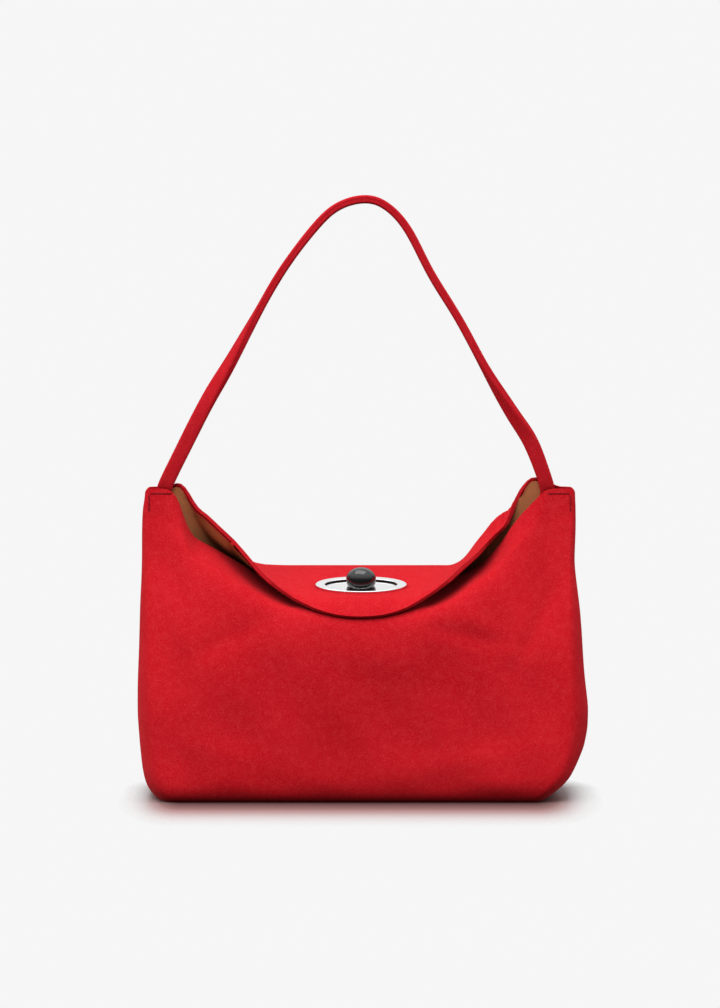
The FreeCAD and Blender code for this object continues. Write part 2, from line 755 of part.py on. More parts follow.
def make_stitches():
    """The stitches that show at each top corner, across its edge and down its side."""
    pitch, inset = size("stitch_pitch"), size("stitch_inset")
    top = size("corner_height") - inset
    outer = side_reach() - inset / 2
    for name, side in (("left", -1), ("right", 1)):
        row = [stitch(side * (outer - pitch * (i + 0.5)), top, False) for i in range(TOP_STITCHES)]
        row += [stitch(side * outer, top - pitch * (i + 0.5), True) for i in range(SIDE_STITCHES)]
        keep_shape(Part.makeCompound(row), f"corner_stitches_{name}")


# ---------------------------------------------------------------- build, check and write


def main():
    make_shell()
    make_gussets()
    make_base()
    make_eyelet()
    make_patches()
    make_lock_base()
    make_turning_parts()
    make_strap()
    make_stitches()
    doc.recompute()
    for item in doc.Objects:
        if "Invalid" in item.State or "Error" in item.State:
            raise RuntimeError(f"{item.Label} did not build: {item.State}")
    for item in nodes:
        shape = item.Shape
        if shape.isNull() or not shape.isValid() or not shape.Solids or shape.Volume <= 0:
            raise RuntimeError(f"{item.Label} is not a valid solid")
    os.makedirs("parts", exist_ok=True)
    for item in nodes:
        item.Shape.exportStep(os.path.join("parts", item.Label + ".step"))
        print(f"{item.Label}: {len(item.Shape.Solids)} solid(s), {item.Shape.Volume:.1f} mm3")


main()
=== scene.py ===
"""Looks of the suede shoulder bag: soft shell, flap, lining, strap, lock finishes and studio."""
import math

import bpy
import numpy as np
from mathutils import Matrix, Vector


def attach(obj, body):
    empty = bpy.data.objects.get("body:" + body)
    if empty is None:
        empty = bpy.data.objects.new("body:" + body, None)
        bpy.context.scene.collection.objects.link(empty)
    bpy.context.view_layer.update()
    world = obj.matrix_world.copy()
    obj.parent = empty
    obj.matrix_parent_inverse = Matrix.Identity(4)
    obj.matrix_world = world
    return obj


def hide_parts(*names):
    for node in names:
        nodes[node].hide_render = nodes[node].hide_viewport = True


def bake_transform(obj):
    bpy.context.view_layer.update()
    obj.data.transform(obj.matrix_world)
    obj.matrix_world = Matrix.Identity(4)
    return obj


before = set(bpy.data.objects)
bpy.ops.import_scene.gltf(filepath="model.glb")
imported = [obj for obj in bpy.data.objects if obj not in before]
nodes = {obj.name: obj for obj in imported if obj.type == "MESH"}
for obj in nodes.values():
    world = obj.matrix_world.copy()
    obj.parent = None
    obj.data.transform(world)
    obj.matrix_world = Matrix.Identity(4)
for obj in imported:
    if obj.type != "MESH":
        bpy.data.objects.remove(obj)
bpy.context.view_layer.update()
MM = 0.001

# ---------------------------------------------------------------- sizes, in millimetres

TOP = 205.0  # height of the upper corners
FOOT, BELLY = 38.0, 45.5  # half depth on the floor and at the widest place
CROWN, CROWN_DEPTH = 150.3, 36.0  # where the back turns over into the flap
LIP, REACH = 121.0, 42.5  # the flap's lip: its height, and how far forward it lies
CORNER = 5.0  # half depth at the upper corners
LEATHER = 2.35  # the suede is drawn with its interlining as one thickness
LINING_TOP, LINING_END = 2.4, 3.3  # the lining's two faces, below the suede's outer face
SEAT, FRONT_DROP = 22.0, 6.0  # half length of the lock's seat, and the front's drop below it
LOCK_Y, LOCK_Z, TILT = -8.0, 140.0, math.radians(15.0)
FOLD_Y, FOLD_Z = 36.0, 150.6  # the line that the flap turns about
CROWN_HALF, CREASE_END = 62.0, 85.0  # x where the fold starts to shrink, and where it ends
CREASE_REACH = 44.0  # how far from the fold's line the flap starts at the fold's end
SIDE, SPREAD_START = 131.0, 100  # x of the last flat column, and where columns start to spread
SPREAD = 11.0  # about how far the last flat column is moved outwards
ARC = 12  # columns in each rounded side
COLUMN_STEP, FLAP_COLUMN_COUNT = 2.0, 103
FRONT_ROWS, BACK_ROWS, FLAP_ROWS = 120, 110, 70
SPLINE_SAMPLES, ARCH_SAMPLES, FRONT_SEAT_SAMPLES, BACK_SEAT_SAMPLES = 700, 160, 90, 120

# the leather's cut edge, seen from the side: at the lip, along the flap and at the corner
LIP_DEPTH, EDGE_RUN, EDGE_WIDTH, EDGE_POWER = -40.5, 37.8, 84.0, 2.2
CORNER_DEPTH, CORNER_START = 3.0, 102
# the leather near its cut edge is lifted over this length: at the lip, then more, then less
LIFT_LENGTH, LIFT_MORE, LIFT_LESS = 16, 32, 38
LIFT_MORE_FROM, LIFT_LESS_FROM = (32, 66), (76, 89)

SIDE_RADIUS, SIDE_SHARE = 1.3, 0.30  # radius of the rounded sides, with its share of the depth
TOP_ROUND, TOP_ROUND_FROM = 4.0, (190, 203)  # rounding of the two upper corners, and its heights
WING_LIFTS = ((3.6, 114, 9), (1.4, -121, 5))  # height, x and half width
WING_LIFT_FROM = (180, 200)
FLOOR_BAND = 0.3  # the skin faces straight down below this height
TINY = 1e-9

# soft folds in the front: start, end, half width, height
FOLDS = [
    ((40, 117), (98, 104), 6.0, -1.1), ((66, 128), (108, 92), 7.0, 1.0),
    ((-60, 122), (-112, 96), 8.0, -1.0), ((-120, 40), (-60, 26), 9.0, 0.9),
    ((30, 22), (110, 34), 9.0, 1.0), ((-135, 150), (-112, 96), 7.0, 0.8),
    ((134, 150), (104, 92), 6.0, -0.9), ((-20, 100), (40, 92), 9.0, 0.6),
]
LOCK_FLAT_X, LOCK_FLAT_Z = 46, 16  # half size of the smooth place around the lock


def smooth(value, low, high):
    """From 0 at low to 1 at high, level at both ends."""
    share = np.clip((value - low) / (high - low), 0, 1)
    return share * share * (3 - 2 * share)


def softened(places, values, reach=3.5):
    """A table's line with its corners rounded off over about reach millimetres."""
    fine = np.arange(-200.0, 260.5, 0.5)
    raw = np.interp(fine, places, values)
    weights = np.exp(-0.5 * (np.arange(-24, 25) * 0.5 / reach) ** 2)
    padded = np.pad(raw, 24, mode="edge")
    return fine, np.convolve(padded, weights / weights.sum(), mode="valid")


# half the bag's width at each height
LEFT_OUTLINE = softened(
    [-6, 0, 3, 7, 14, 22, 36, 52, 72, 116, 157, 190, 205],
    [130, 138, 141, 143.6, 145.8, 147.1, 148.5, 149.2, 148.7, 147.3, 146.7, 145.3, 143.8], 3.0)
RIGHT_OUTLINE = softened(
    [-6, 0, 3.8, 8, 14, 21.8, 32, 45, 60, 76, 116, 157, 190, 205],
    [116, 125.5, 131, 135.5, 140.8, 145.2, 149, 150.7, 150.8, 149.3, 146, 143.3, 142.9, 142.6],
    2.5)


def half_width(z, side):
    return np.interp(z, *(LEFT_OUTLINE if side < 0 else RIGHT_OUTLINE))


# ---------------------------------------------------------------- profiles of the shell


def on_seat(along, lift):
    """A place on the lock's tilted seat, seen from the side."""
    return (
        LOCK_Y + along * math.cos(TILT) - lift * math.sin(TILT),
        LOCK_Z + along * math.sin(TILT) + lift * math.cos(TILT),
    )


def ramp(x, start, end, power):
    return min(1.0, max(0.0, (abs(x) - start) / (end - start))) ** power


def looked_up(table, x):
    """The table's value where the column at x ends up once the sides are rounded off."""
    across = abs(x) + SPREAD * float(smooth(abs(x), SPREAD_START, SIDE))
    return float(np.interp(math.copysign(across, x), *table))


# how far each outline has risen from the sagging middle to the corner, along x
FRONT_EDGE = softened(
    [-134, -127, -122, -119, -116, -111.7, -99, -83, -70, -60, -45,
     45, 60, 69, 80, 94, 100, 106.5, 115, 123, 130],
    [1, 0.985, 0.90, 0.79, 0.64, 0.50, 0.39, 0.24, 0.12, 0.06, 0,
     0, 0.06, 0.12, 0.23, 0.45, 0.60, 0.73, 0.86, 0.98, 1],
    1.6)
FRONT_ROLL = softened(
    [-130, -118, -112, -99, -84, -69, -53, -38, -28, -15,
     15, 30, 43.5, 58, 69, 80, 94, 106, 116, 126],
    [1, 0.66, 0.52, 0.44, 0.34, 0.235, 0.14, 0.055, 0.022, 0,
     0, 0.018, 0.07, 0.19, 0.29, 0.39, 0.54, 0.70, 0.84, 1])
CROWN_RISE = softened(
    [-122, -116, -110, -103, -96, -88, -80, -73, -66, 61, 66, 70, 76, 85.5, 96.5, 106, 114],
    [1, 0.93, 0.80, 0.58, 0.40, 0.25, 0.12, 0.03, 0, 0, 0.07, 0.17, 0.37, 0.66, 0.88, 0.97, 1], 2.0)
LIP_RISE = softened(
    [-120, -102.7, -85, -72, -58, -46, -33, 33, 46, 58, 72, 85, 100, 108],
    [1, 0.76, 0.50, 0.33, 0.17, 0.07, 0, 0, 0.07, 0.16, 0.32, 0.50, 0.82, 1], 3.0)
# height of the leather's cut edge along x: lip, flap side, kink and wing
CUT_EDGE = softened(
    [-134, -124, -118, -114, -110.7, -107.3, -102.7, -87, -72, -63.7, -53.5, -43.3, -36, -30,
     -23, -15, -7, 0, 7, 15, 23, 30, 36, 41.3, 47, 52.3, 59, 65.6, 80, 91, 96.5, 99.3, 101.5,
     105.4, 113, 121.4, 127, 134],
    [205.4, 206.8, 205.5, 200.5, 194.5, 190.2, 187, 172, 157, 149, 140.5, 134.2, 130.9, 128.4,
     126.2, 124.5, 123.7, 123.5, 123.8, 124.7, 126.6, 129.1, 132.1, 135.2, 138.7, 142.3, 147.7,
     153.3, 166, 175.5, 180, 187.5, 194.5, 202, 207.5, 209, 208, 205.4], 1.5)


def wall_poles(sign):
    """Poles of a wall's profile as (y, z), from the floor up: in the middle and at a corner."""
    seam = [(FOOT, 0), (FOOT + 3, 0), (BELLY - 1.5, 5)]
    middle = seam + [(BELLY, 18), (BELLY, 65)]
    corner = seam + [(BELLY - 0.5, 18), (BELLY - 6, 0.32 * TOP)]
    corner += [(0.57 * BELLY, 0.56 * TOP), (0.34 * BELLY, 0.73 * TOP), (0.22 * BELLY, 0.84 * TOP)]
    return [[(sign * y, z) for y, z in row] for row in (middle, corner)]


def mixed(middle, corner, shares):
    a, b, share = np.array(middle, float), np.array(corner, float), np.array(shares)[:, None]
    return a + (b - a) * share


def front_poles(x):
    """Poles of the front's profile at x; the last two span the part under the lock."""
    middle, corner = wall_poles(-1)
    middle += [(-BELLY + 0.5, LIP - 21), (-REACH + 1, LIP - 4), (-REACH + 6.5, LIP + 3.5)]
    middle += [on_seat(-SEAT, -FRONT_DROP), on_seat(16, -FRONT_DROP)]
    corner += [(-CORNER - 2, TOP - 18), (-CORNER, TOP)]
    roll, edge = looked_up(FRONT_ROLL, x), looked_up(FRONT_EDGE, x)
    level = edge + (0.5 * (roll + edge) - edge) * float(smooth(abs(x), 45, 75))
    return mixed(middle, corner, [roll] * 8 + [level, edge])


def back_poles(x):
    """Poles of the back's profile at x, over the fold and down to the lip."""
    middle, corner = wall_poles(1)
    deep = CROWN_DEPTH
    middle += [(BELLY - 0.2, CROWN - 30), (deep + 8.2, CROWN - 12), (deep + 5, CROWN - 3.3)]
    middle += [(deep, CROWN), (deep - 8, CROWN - 1), on_seat(SEAT, 0), on_seat(-SEAT, 0)]
    middle += [(-REACH + 6, LIP + 9.8), (-REACH + 2, LIP + 4)]
    corner += [(CORNER + 2.5, TOP - 18), (CORNER + 1.2, TOP - 10), (CORNER + 0.6, TOP - 6)]
    corner += [(CORNER + 0.3, TOP - 2.5), (CORNER + 0.1, TOP - 1), (CORNER, TOP)]
    crown, lip = looked_up(CROWN_RISE, x), looked_up(LIP_RISE, x)
    wall = 0.5 * crown + 0.5 * ramp(x, CROWN_HALF, 112, 1.1)
    seat = crown + (lip - crown) * 0.25
    shares = [wall] * 6 + [0.3 * wall + 0.7 * crown] + [crown] * 3 + [seat] + [lip] * 3
    return mixed(middle, corner, shares)


def spline_basis(count, samples):
    """Weights of a clamped cubic B-spline with that many poles at evenly spaced places."""
    knots = np.concatenate([np.zeros(3), np.linspace(0, 1, count - 2), np.ones(3)])
    at = np.linspace(0, 1, samples)
    at[-1] = 1 - 1e-9
    weights = [((at >= low) & (at < high)).astype(float) for low, high in zip(knots, knots[1:])]
    for degree in range(1, 4):
        raised = []
        for i in range(len(weights) - 1):
            total = np.zeros(samples)
            if knots[i + degree] > knots[i]:
                total += (at - knots[i]) / (knots[i + degree] - knots[i]) * weights[i]
            if knots[i + degree + 1] > knots[i + 1]:
                end = knots[i + degree + 1]
                total += (end - at) / (end - knots[i + 1]) * weights[i + 1]
            raised.append(total)
        weights = raised
    return np.stack(weights, axis=1)


BASES = {count: spline_basis(count, SPLINE_SAMPLES) for count in (9, 11)}
ARCH = np.array([((1 - t) ** 2, 2 * t * (1 - t), t * t)
                 for t in np.linspace(0, 1, ARCH_SAMPLES)[1:]])


def dense_front(x):
    poles = front_poles(x)
    line = poles[8] + (poles[9] - poles[8]) * np.linspace(0, 1, FRONT_SEAT_SAMPLES)[1:, None]
    return np.vstack([BASES[9] @ poles[:9], line])


def edge_depth(x):
    """How far forward the leather's cut edge lies at x, from lip to wing to corner."""
    x = abs(x)
    if x <= CREASE_END:
        return LIP_DEPTH + EDGE_RUN * (x / EDGE_WIDTH) ** EDGE_POWER
    start = LIP_DEPTH + EDGE_RUN * (CREASE_END / EDGE_WIDTH) ** EDGE_POWER
    share = min(1.0, (x - CREASE_END) / (CORNER_START - CREASE_END))
    return start + (CORNER_DEPTH - start) * share


def dense_back(x):
    """(line up to the cut edge, index where the flap starts)."""
    poles = back_poles(x)
    seat = poles[10] + (poles[11] - poles[10]) * np.linspace(0, 1, BACK_SEAT_SAMPLES)[1:, None]
    line = np.vstack([BASES[11] @ poles[:11], seat, ARCH @ poles[11:14]])
    past = np.nonzero((line[:, 0] < edge_depth(x)) & (line[:, 1] > LIP))[0]
    if len(past):
        line = line[: past[0]]
    radius = CREASE_REACH * max(0.0, (abs(x) - CROWN_HALF) / (CREASE_END - CROWN_HALF))
    away = np.hypot(line[:, 0] - FOLD_Y, line[:, 1] - FOLD_Z) >= radius
    above = line[:, 1] > FOLD_Z - 6 - 0.35 * (FOLD_Y - line[:, 0])
    flap = np.nonzero((line[:, 0] <= FOLD_Y) & away & above)[0]
    start = flap[0] if len(flap) and abs(x) <= CREASE_END else len(line) - 1
    back_from_edge = np.cumsum(np.hypot(*np.diff(line[::-1], axis=0, prepend=line[-1:]).T))[::-1]
    more, less = (float(smooth(abs(x), *zone)) for zone in (LIFT_MORE_FROM, LIFT_LESS_FROM))
    length = LIFT_LENGTH + LIFT_MORE * more - LIFT_LESS * less
    line[:, 1] += (looked_up(CUT_EDGE, x) - line[-1, 1]) * (1 - smooth(back_from_edge, 0, length))
    return line, start


def resampled(line, count):
    """The same line as that many evenly spaced points."""
    steps = np.concatenate([[0], np.cumsum(np.hypot(*np.diff(line, axis=0).T))])
    goals = np.linspace(0, steps[-1], count)
    return np.stack([np.interp(goals, steps, line[:, i]) for i in (0, 1)], axis=1)


# ---------------------------------------------------------------- sheets of points


def columns():
    """(x, angle in degrees around the rounded side) of every column, from left to right."""
    inner = np.concatenate([
        np.arange(-SIDE, -CREASE_END, COLUMN_STEP),
        np.linspace(-CREASE_END, CREASE_END, FLAP_COLUMN_COUNT),
        np.arange(CREASE_END + COLUMN_STEP, SIDE + 0.1, COLUMN_STEP)])
    turned = np.linspace(0, 90, ARC + 1)[1:]
    left = [(-SIDE, -a) for a in turned[::-1]]
    right = [(SIDE, a) for a in turned]
    return left + [(x, 0.0) for x in inner] + right


def placed(x, angle, line):
    """Points of one column, with the bag's outline at that height and its rounded side."""
    y, z = line[:, 0], line[:, 1]
    side = -1 if x < 0 else 1
    radius = SIDE_RADIUS + SIDE_SHARE * np.abs(y)
    reach = half_width(z, side) - radius
    turn = math.radians(abs(angle))
    at = abs(x) + (reach - SIDE) * smooth(abs(x), SPREAD_START, SIDE) + radius * math.sin(turn)
    narrow = y * math.cos(turn) ** 0.9 if turn < math.pi / 2 - 1e-6 else y * 0
    beyond = np.clip(at - (half_width(z, side) - TOP_ROUND), 0, TOP_ROUND)
    drop = (TOP_ROUND - np.sqrt(TOP_ROUND ** 2 - beyond ** 2)) * smooth(z, *TOP_ROUND_FROM)
    return np.stack([side * at, narrow, z - drop], axis=1)


def shift_wings(points):
    """The wings' top edges stand a little higher than the front's, most of all on the right."""
    x, z = points[..., 0], points[..., 2]
    lift = sum(high * np.exp(-(((x - at) / wide) ** 2)) for high, at, wide in WING_LIFTS)
    points[..., 2] = z + lift * smooth(z, *WING_LIFT_FROM)
    return points


def relief(points):
    """Soft unevenness of the leather, fading out near the lock and the floor."""
    x, y, z = points[..., 0], points[..., 1], points[..., 2]
    value = 0.8 * np.sin(x / 31 + z / 47 + 1.1) * np.sin(z / 27 - x / 90 + 0.4 + y / 40)
    value += 0.5 * np.sin(x / 14.5 - z / 33 + 2.0) * np.sin(z / 19 + 1.7)
    value += 0.35 * np.sin(x / 9.0 + z / 11 + y / 17)
    for (ax, az), (bx, bz), wide, high in FOLDS:
        length = math.hypot(bx - ax, bz - az)
        ux, uz = (bx - ax) / length, (bz - az) / length
        along = ((x - ax) * ux + (z - az) * uz) / length
        off = -(x - ax) * uz + (z - az) * ux
        ends = smooth(along, -0.25, 0.25) * (1 - smooth(along, 0.75, 1.3))
        value += high * np.exp(-((off / wide) ** 2)) * ends * (y < 0)
    lock = np.sqrt((x / LOCK_FLAT_X) ** 2 + ((z - LOCK_Z) / LOCK_FLAT_Z) ** 2)
    return value * smooth(lock, 1.0, 1.9) * smooth(z, 2, 16) * (1 - 0.75 * smooth(z, 150, 200))


def normals_of(points, sign):
    """Outward directions at a sheet's points; where columns meet, the neighbour's is taken."""
    along = np.gradient(points, axis=0)
    across = np.gradient(points, axis=1)
    found = np.cross(along, across) * sign
    size = np.linalg.norm(found, axis=2, keepdims=True)
    found = found / np.maximum(size, TINY)
    weak = size[..., 0] < 1e-6
    for row, column in zip(*np.nonzero(weak)):
        inward = 1 if column < points.shape[1] / 2 else -1
        near = min(max(column + inward, 0), points.shape[1] - 1)
        found[row, column] = found[row, near]
    found[points[..., 2] < FLOOR_BAND] = (0, 0, -1)
    return found


def relieved(points, sign):
    normals = normals_of(points, sign)
    points = points + normals * relief(points)[..., None]
    return points, normals_of(points, sign)


COLUMNS = columns()
FLAP_COLUMNS = [i for i, (x, angle) in enumerate(COLUMNS)
                if abs(x) <= CREASE_END + 0.01 and not angle]


def front_sheet():
    made = [placed(x, angle, resampled(dense_front(x), FRONT_ROWS)) for x, angle in COLUMNS]
    return relieved(np.stack(made, axis=1), -1)


def back_sheets():
    backs, flaps = [], []
    for i, (x, angle) in enumerate(COLUMNS):
        line, start = dense_back(x)
        backs.append(placed(x, angle, resampled(line[: start + 1], BACK_ROWS)))
        if i in FLAP_COLUMNS:
            rest = line[start:] if len(line) - start > 1 else line[-2:]
            flaps.append(placed(x, angle, resampled(rest, FLAP_ROWS)))
    back = shift_wings(np.stack(backs, axis=1))
    flap = shift_wings(np.stack(flaps, axis=1))
    return relieved(back, 1), relieved(flap, 1)


# ---------------------------------------------------------------- materials


def new_material(name):
    material = bpy.data.materials.new(name)
    material.use_nodes = True
    tree = material.node_tree
    return material, tree, tree.nodes["Principled BSDF"]


def noise_node(tree, scale, detail, coordinates, rough=0.5):
    node = tree.nodes.new("ShaderNodeTexNoise")
    node.inputs["Scale"].default_value = scale
    node.inputs["Detail"].default_value = detail
    node.inputs["Roughness"].default_value = rough
    tree.links.new(coordinates.outputs["Object"], node.inputs["Vector"])
    return node


def span(tree, source, low, high, to_low, to_high):
    """The source's values from low to high, brought to the other range."""
    node = tree.nodes.new("ShaderNodeMapRange")
    limits = {"From Min": low, "From Max": high, "To Min": to_low, "To Max": to_high}
    for name, value in limits.items():
        node.inputs[name].default_value = value
    tree.links.new(source, node.inputs["Value"])
    return node.outputs["Result"]


def blended(tree, share, first, second):
    """A colour between the two, by share; each is a colour or an output."""
    node = tree.nodes.new("ShaderNodeMix")
    node.data_type = "RGBA"
    tree.links.new(share, node.inputs["Factor"])
    for socket, value in ((node.inputs["A"], first), (node.inputs["B"], second)):
        if isinstance(value, tuple):
            socket.default_value = (*value, 1)
        else:
            tree.links.new(value, socket)
    return node.outputs["Result"]


CLOUD_SCALE, SPECK_SCALE, NAP_BUMP, NAP_BUMP_DEPTH = 16.0, 230.0, 0.35, 0.0006
# reach and darkness of the painted shade that the suede's colour takes on in folds and narrow
# places
FOLD_SHADE_REACH, FOLD_SHADE = 0.030, 0.22


def napped(name, dark, middle, light, sheen, fibre=1500.0):
    """Suede: cloudy where the nap is brushed either way, with a fine fibrous grain.

    Narrow places and folds get painted shade: an ambient occlusion node darkens the colour there,
    as well as the light does.
    """
    material, tree, surface = new_material(name)
    place = tree.nodes.new("ShaderNodeTexCoord")
    clouds = noise_node(tree, CLOUD_SCALE, 4.0, place, 0.55)
    specks = noise_node(tree, SPECK_SCALE, 5.0, place, 0.65)
    grain = noise_node(tree, fibre, 3.0, place, 0.6)
    colour = blended(tree, span(tree, clouds.outputs["Fac"], 0.32, 0.68, 0, 1), dark, middle)
    colour = blended(tree, span(tree, specks.outputs["Fac"], 0.45, 0.80, 0, 0.20), colour, light)
    colour = blended(tree, span(tree, grain.outputs["Fac"], 0.50, 0.78, 0, 0.6), colour, light)
    # painted shade: the colour is darkened where nearby surfaces close in, in folds, gaps and
    # corners
    folds = tree.nodes.new("ShaderNodeAmbientOcclusion")
    folds.samples = 6
    folds.inputs["Distance"].default_value = FOLD_SHADE_REACH
    painted_shade_share = span(tree, folds.outputs["AO"], 0.25, 0.85, 0, 1)
    colour = blended(tree, painted_shade_share, tuple(FOLD_SHADE * v for v in dark), colour)
    tree.links.new(colour, surface.inputs["Base Color"])
    surface.inputs["Roughness"].default_value = 0.95
    surface.inputs["Specular IOR Level"].default_value = 0.12
    surface.inputs["Sheen Weight"].default_value = sheen
    surface.inputs["Sheen Roughness"].default_value = 0.5
    surface.inputs["Sheen Tint"].default_value = (*light, 1)
    height = tree.nodes.new("ShaderNodeMath")
    height.operation = "MULTIPLY_ADD"
    height.inputs[1].default_value = 0.55
    tree.links.new(specks.outputs["Fac"], height.inputs[0])
    tree.links.new(grain.outputs["Fac"], height.inputs[2])
    rough = tree.nodes.new("ShaderNodeBump")
    rough.inputs["Strength"].default_value = NAP_BUMP
    rough.inputs["Distance"].default_value = NAP_BUMP_DEPTH
    tree.links.new(height.outputs["Value"], rough.inputs["Height"])
    tree.links.new(rough.outputs["Normal"], surface.inputs["Normal"])
    return material


def plain(name, colour, rough, grain_scale, metal=0.0, coat=0.0, grain=0.0):
    """One colour with slightly uneven roughness, and a fine bump where grain is given."""
    material, tree, surface = new_material(name)
    surface.inputs["Base Color"].default_value = (*colour, 1)
    surface.inputs["Roughness"].default_value = rough
    surface.inputs["Metallic"].default_value = metal
    surface.inputs["Coat Weight"].default_value = coat
    surface.inputs["Coat Roughness"].default_value = 0.04
    place = tree.nodes.new("ShaderNodeTexCoord")
    texture = noise_node(tree, grain_scale, 3.0, place)
    spread = 0.25 if grain else 0.12
    low, high = rough * (1 - spread), rough * (1 + spread)
    uneven = span(tree, texture.outputs["Fac"], 0.3, 0.7, low, high)
    tree.links.new(uneven, surface.inputs["Roughness"])
    if grain:
        bump = tree.nodes.new("ShaderNodeBump")
        bump.inputs["Strength"].default_value = grain
        bump.inputs["Distance"].default_value = 0.0003
        tree.links.new(texture.outputs["Fac"], bump.inputs["Height"])
        tree.links.new(bump.outputs["Normal"], surface.inputs["Normal"])
    return material


SUEDE = napped(
    "suede", (0.50, 0.004, 0.011), (0.58, 0.008, 0.016), (0.84, 0.060, 0.068), 0.45)
STRAP_SUEDE = napped(
    "suede_strap", (0.44, 0.006, 0.012), (0.52, 0.010, 0.018), (0.72, 0.04, 0.05), 0.4, 1800.0)
EDGE = napped(
    "cut_edge", (0.42, 0.005, 0.010), (0.48, 0.008, 0.014), (0.66, 0.04, 0.05), 0.3, 2400.0)
LINING = plain("lining", (0.50, 0.17, 0.065), 0.55, 900.0, grain=0.35)
THREAD = plain("thread", (0.26, 0.004, 0.008), 0.9, 2500.0, grain=0.4)
BOARD = plain("board", (0.30, 0.22, 0.15), 0.85, 400.0, grain=0.5)
POLISHED = plain("polished_metal", (0.88, 0.88, 0.89), 0.09, 60.0, metal=1.0)
STEEL = plain("steel", (0.60, 0.60, 0.62), 0.28, 300.0, metal=1.0)
KNOB = plain("knob_black", (0.006, 0.006, 0.007), 0.10, 40.0, coat=1.0)

# ---------------------------------------------------------------- meshes


def new_piece(name, verts, faces, *materials):
    """An object made of those faces, smoothly shaded."""
    mesh = bpy.data.meshes.new(name)
    mesh.from_pydata(verts, [], faces)
    for material in materials:
        mesh.materials.append(material)
    mesh.polygons.foreach_set("use_smooth", [True] * len(faces))
    mesh.update()
    piece = bpy.data.objects.new(name, mesh)
    bpy.context.scene.collection.objects.link(piece)
    return piece


def shell(name, points, normals, near, far, faces_kept=None, skins=(SUEDE, SUEDE, EDGE),
          slot="suede"):
    """A sheet with thickness: its outer skin, its inner skin and its cut edges."""
    rows, cols = points.shape[:2]
    outer = (points - normals * near).reshape(-1, 3)
    inner = (points - normals * far).reshape(-1, 3)
    flat_normals = normals.reshape(-1, 3)
    count = rows * cols
    quads = []
    for r in range(rows - 1):
        for c in range(cols - 1):
            if faces_kept is None or faces_kept[r, c]:
                a = r * cols + c
                quads.append((a, a + 1, a + cols + 1, a + cols))
    first = quads[len(quads) // 2]
    edge_a = outer[first[1]] - outer[first[0]]
    edge_b = outer[first[3]] - outer[first[0]]
    if np.dot(np.cross(edge_a, edge_b), flat_normals[first[0]]) < 0:
        quads = [q[::-1] for q in quads]
    borders = dict.fromkeys(pair for q in quads for pair in zip(q, q[1:] + q[:1]))
    rims = [(b, a, a + count, b + count) for (a, b) in borders if (b, a) not in borders]
    faces = quads + [tuple(v + count for v in q[::-1]) for q in quads] + rims
    corner_points = np.vstack([outer, inner])
    piece = new_piece(name, (corner_points * MM).tolist(), faces, *skins)
    skin = [0] * len(quads) + [1] * len(quads) + [2] * len(rims)
    piece.data.polygons.foreach_set("material_index", skin)
    loops = []
    for number, face in enumerate(faces):
        if number < len(quads):
            loops += [flat_normals[v] for v in face]
        elif number < 2 * len(quads):
            loops += [-flat_normals[v - count] for v in face]
        else:
            a, b, _, d = (corner_points[v] for v in face)
            up = np.cross(b - a, d - a)
            length = np.linalg.norm(up)
            loops += [up / length if length > TINY else np.array((0, 0, 1.0))] * 4
    piece.data.normals_split_custom_set([tuple(v) for v in loops])
    piece.data.update()
    return piece


def part_of(sheet, picked):
    points, normals = sheet
    return points[:, picked], normals[:, picked]


SEAM = ARC - 6
COUNT = len(COLUMNS)
MIDDLE = list(range(SEAM, COUNT - SEAM))
LEFT_END, RIGHT_END = list(range(SEAM + 1)), list(range(COUNT - SEAM - 1, COUNT))

front = front_sheet()
back, flap = back_sheets()


LINING_SKINS = (LINING, LINING, EDGE)
EDGE_MARGIN = 3.2  # how far the lining stops short of the leather's cut edge
SLOT_HALF_LONG, SLOT_HALF_SHORT = 26.4, 11.4  # the opening in the leather around the slot


def off_slot(points):
    """Which quads of the flap are kept: those that don't lie over the lock's slot."""
    centres = (points[:-1, :-1] + points[1:, 1:]) / 2
    along = (centres[..., 1] - LOCK_Y) / math.cos(TILT)
    return (centres[..., 0] / SLOT_HALF_LONG) ** 2 + (along / SLOT_HALF_SHORT) ** 2 > 1


def short_of_edge(points, beyond=0.0):
    """Which quads of a lining are kept: it stops short of the cut edge, except nearer the
    middle than beyond, where the sheet runs on into the flap."""
    steps = np.linalg.norm(np.diff(points, axis=0), axis=2)
    left = np.cumsum(steps[::-1], axis=0)[::-1]
    kept = left[:, :-1] > EDGE_MARGIN
    inside = (np.abs(points[0, :-1, 0]) < beyond) & (np.abs(points[0, 1:, 0]) < beyond)
    return kept | inside[None, :]


front_leather = shell("front_leather", *part_of(front, MIDDLE), 0, LEATHER)
front_inner = shell("front_inner", *part_of(front, MIDDLE), LINING_TOP, LINING_END,
                    short_of_edge(front[0][:, MIDDLE]), LINING_SKINS, "lining")
back_leather = shell("back_leather", *part_of(back, MIDDLE), 0, LEATHER)
back_inner = shell("back_inner", *part_of(back, MIDDLE), LINING_TOP, LINING_END,
                   short_of_edge(back[0][:, MIDDLE], CREASE_END + 1), LINING_SKINS, "lining")
kept = off_slot(flap[0])
flap_leather = shell("flap_leather", *flap, 0, LEATHER, kept)
flap_inner = shell("flap_inner", *flap, LINING_TOP, LINING_END, kept & short_of_edge(flap[0]),
                   LINING_SKINS, "lining")

sides = []
for label, picked in (("left", LEFT_END), ("right", RIGHT_END)):
    for end, sheet in (("front", front), ("back", back)):
        leather = shell(f"{label}_side_{end}", *part_of(sheet, picked), 0, LEATHER)
        inner = shell(f"{label}_side_{end}_inner", *part_of(sheet, picked), LINING_TOP, LINING_END,
                      short_of_edge(sheet[0][:, picked]), LINING_SKINS, "lining")
        sides.append((label, leather, inner))

BASE_LEATHER, BASE_LINING_TOP, BASE_LINING_END = 1.6, 3.6, 4.5
BASE_LINING_SHARE = np.array([0.985, 0.98, 1])

